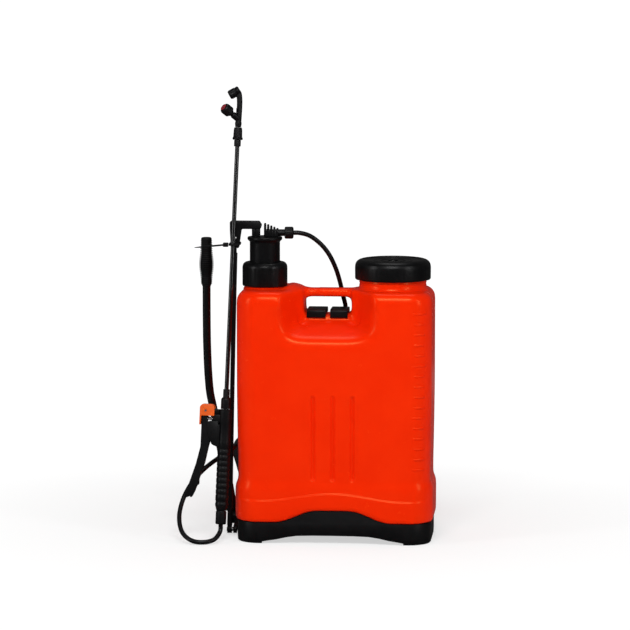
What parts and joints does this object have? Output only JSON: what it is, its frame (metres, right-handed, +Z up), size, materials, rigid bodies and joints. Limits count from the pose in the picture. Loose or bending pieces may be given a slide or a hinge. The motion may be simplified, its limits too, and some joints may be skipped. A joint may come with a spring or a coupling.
{
  "type": "backpack sprayer",
  "caption": "Knapsack lever sprayer: moulded tank on a base, side pump lever with link, moving pressure chamber, screw filler cap, hose, trigger valve, lance and shoulder straps.",
  "frame": {"origin": "on the floor, under the middle of the box round the sprayer without its loose hose", "axes": "+Z up; +X from the pump towards the filler; +Y towards the wearer's back, where the shoulder straps are"},
  "size_m": [0.4988, 0.2882, 0.88],
  "materials": {
    "orange_tank": "glossy blow-moulded polyethylene",
    "black_plastic": "semi-matt moulded polypropylene",
    "black_gloss_plastic": "moulded polypropylene with a soft shine",
    "black_rubber": "moulded rubber",
    "hose_rubber": "smooth braided PVC hose",
    "white_plastic": "natural polypropylene",
    "lever_paint": "black powder coat on steel tube",
    "lance_paint": "black coated steel tube",
    "steel": "zinc plated",
    "orange_plastic": "moulded nylon",
    "red_plastic": "moulded nozzle insert",
    "webbing": "woven polypropylene webbing",
    "pad_fabric": "fabric over foam"
  },
  "bodies": {
    "tank_unit": {"tank": "orange_tank", "base": "black_plastic", "shaft_bush_left": "black_plastic", "shaft_bush_right": "black_plastic", "pump_barrel": "white_plastic", "nut_gasket": "black_rubber", "pump_nut": "black_gloss_plastic", "foot_valve": "black_rubber", "suction_strainer": "white_plastic", "hose_tail_nut": "black_plastic", "valve_body": "black_plastic", "trigger_pin": "steel", "lance_collar": "black_plastic", "lance_tube": "lance_paint", "nozzle_collet": "black_plastic", "nozzle_nut": "black_plastic", "nozzle_head": "black_plastic", "lance_tie": "black_plastic", "strap_hook_left": "black_plastic", "strap_hook_right": "black_plastic", "shoulder_pad_left": "pad_fabric", "shoulder_pad_right": "pad_fabric", "strap_buckle_left": "black_plastic", "strap_buckle_right": "black_plastic", "strap_webbing_left": "webbing", "strap_webbing_right": "webbing", "hose": "hose_rubber"},
    "filler_cap": {"filler_cap": "black_gloss_plastic", "cap_gasket": "black_rubber", "cap_vent_valve": "black_rubber"},
    "strainer": {"strainer_basket": "white_plastic"},
    "pump_chamber": {"pressure_chamber": "white_plastic", "chamber_head": "black_gloss_plastic", "piston_cup": "black_rubber", "piston_retainer": "black_plastic", "outlet_elbow": "black_plastic", "outlet_nut": "black_plastic", "pump_arm": "black_plastic", "arm_pin": "steel"},
    "lever": {"lever_tube": "lever_paint", "lever_grip": "black_rubber", "crank": "black_plastic", "crank_pin": "steel", "lever_shaft": "steel", "shaft_bolt": "steel"},
    "link": {"link_rod": "black_plastic"},
    "trigger": {"trigger": "black_plastic"},
    "valve_stem": {"valve_stem": "steel", "valve_spring": "steel"},
    "trigger_latch": {"trigger_latch": "orange_plastic"},
    "upper_nozzle_cap": {"nozzle_cap_upper": "black_plastic"},
    "side_nozzle_cap": {"nozzle_cap_side": "black_plastic", "nozzle_disc": "red_plastic"}
  },
  "joints": [
    {"name": "lever_swing", "type": "hinge", "parent": "tank_unit", "child": "lever", "pos_m": [-0.15676, 0.01282, 0.027], "axis": [-1, 0, 0], "range_deg": [0, 45]},
    {"name": "pump_stroke", "type": "slide", "parent": "tank_unit", "child": "pump_chamber", "axis": [0, 0, 1], "range_m": [0, 0.0384]},
    {"name": "link_swing", "type": "hinge", "parent": "lever", "child": "link", "pos_m": [-0.16226, -0.03416, 0.0099], "axis": [-1, 0, 0], "range_deg": [-45.2, 0.2]},
    {"name": "cap_lift", "type": "slide", "parent": "tank_unit", "child": "filler_cap", "axis": [0, 0, 1], "range_m": [0, 0.14]},
    {"name": "strainer_lift", "type": "slide", "parent": "tank_unit", "child": "strainer", "axis": [0, 0, 1], "range_m": [0, 0.0775]},
    {"name": "trigger_squeeze", "type": "hinge", "parent": "tank_unit", "child": "trigger", "pos_m": [-0.20048, -0.0959, 0.2546], "axis": [0.002, -0.9929, 0.1191], "range_deg": [0, 11], "stiffness_Nm_per_rad": 0.6, "springref_deg": -20.05},
    {"name": "stem_travel", "type": "slide", "parent": "tank_unit", "child": "valve_stem", "axis": [0.9994, -0.002, -0.0339], "range_m": [0, 0.004]},
    {"name": "latch_flip", "type": "hinge", "parent": "tank_unit", "child": "trigger_latch", "pos_m": [-0.20048, -0.0959, 0.2546], "axis": [-0.002, 0.9929, -0.1191], "range_deg": [0, 15]},
    {"name": "upper_cap_turn", "type": "hinge", "parent": "tank_unit", "child": "upper_nozzle_cap", "pos_m": [-0.1413, -0.02156, 0.8735], "axis": [-0.8741, -0.0596, -0.482], "continuous": true},
    {"name": "side_cap_turn", "type": "hinge", "parent": "tank_unit", "child": "side_nozzle_cap", "pos_m": [-0.14323, -0.02834, 0.81694], "axis": [-0.7001, -0.3819, 0.6034], "continuous": true}
  ],
  "couplings": [
    {"joint": "pump_stroke", "follows": "lever_swing", "m_per_rad": 0.048679},
    {"joint": "link_swing", "follows": "lever_swing", "ratio": -1},
    {"joint": "strainer_lift", "follows": "cap_lift", "ratio": 0.55},
    {"joint": "stem_travel", "follows": "trigger_squeeze", "m_per_rad": 0.0204}
  ]
}
